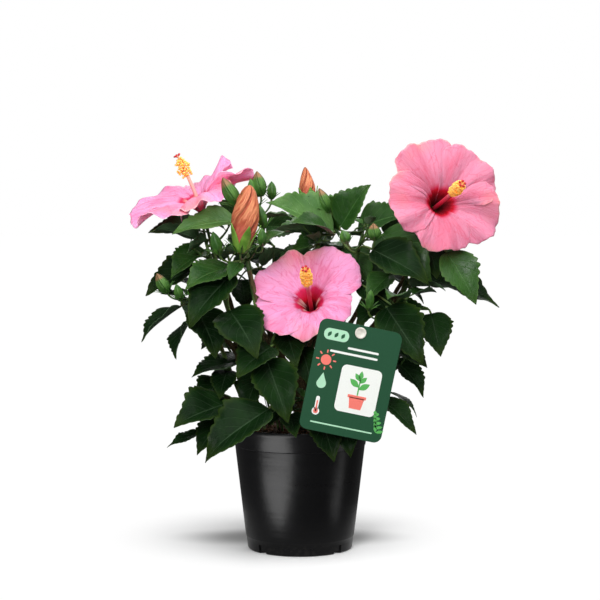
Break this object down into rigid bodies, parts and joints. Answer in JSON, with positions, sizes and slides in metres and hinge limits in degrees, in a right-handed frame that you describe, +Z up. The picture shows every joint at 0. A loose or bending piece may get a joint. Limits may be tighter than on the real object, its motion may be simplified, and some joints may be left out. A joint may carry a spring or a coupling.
{
  "type": "potted hibiscus shrub",
  "caption": "Flowering hibiscus shrub in a round nursery pot, with open pink blooms, buds, glossy toothed leaves and a care tag pegged to one bough.",
  "frame": {"origin": "middle of the pot's flat underside", "axes": "+X to the right seen from the front, +Y away from the front, +Z up; the front is the side that the care tag faces"},
  "size_m": [0.3726, 0.2452, 0.4133],
  "materials": {
    "pot": "satin black",
    "soil": "moist crumbly potting soil",
    "bark": "young brown-green bark",
    "foliage": "glossy living leaves",
    "blossom": "soft petals",
    "care_tag": "printed card",
    "tag_peg": "smooth"
  },
  "bodies": {
    "root": {"bloom_front": "blossom", "bloom_left": "blossom", "bloom_right": "blossom", "bough_back": "bark", "bough_back_left": "bark", "bough_back_low_left": "bark", "bough_back_low_right": "bark", "bough_back_right": "bark", "bough_centre": "bark", "bough_front": "bark", "bough_front_left": "bark", "bough_front_low": "bark", "bough_left_bloom": "bark", "bough_left_high": "bark", "bough_left_low": "bark", "bough_left_mid": "bark", "bough_peach": "bark", "bough_right": "bark", "bough_right_bloom": "bark", "bough_right_low": "bark", "bough_right_mid": "bark", "bough_right_top": "bark", "bough_top": "bark", "care_tag": "care_tag", "leaves_back": "foliage", "leaves_back_left": "foliage", "leaves_back_low_left": "foliage", "leaves_back_low_right": "foliage", "leaves_back_right": "foliage", "leaves_centre": "foliage", "leaves_front": "foliage", "leaves_front_low": "foliage", "leaves_left_high": "foliage", "leaves_left_low": "foliage", "leaves_left_mid": "foliage", "leaves_peach": "foliage", "leaves_right": "foliage", "leaves_right_low": "foliage", "leaves_right_mid": "foliage", "leaves_right_top": "foliage", "leaves_top": "foliage", "pot": "pot", "soil": "soil", "stem_left": "bark", "stem_main": "bark", "tag_peg": "tag_peg"}
  },
  "joints": []
}
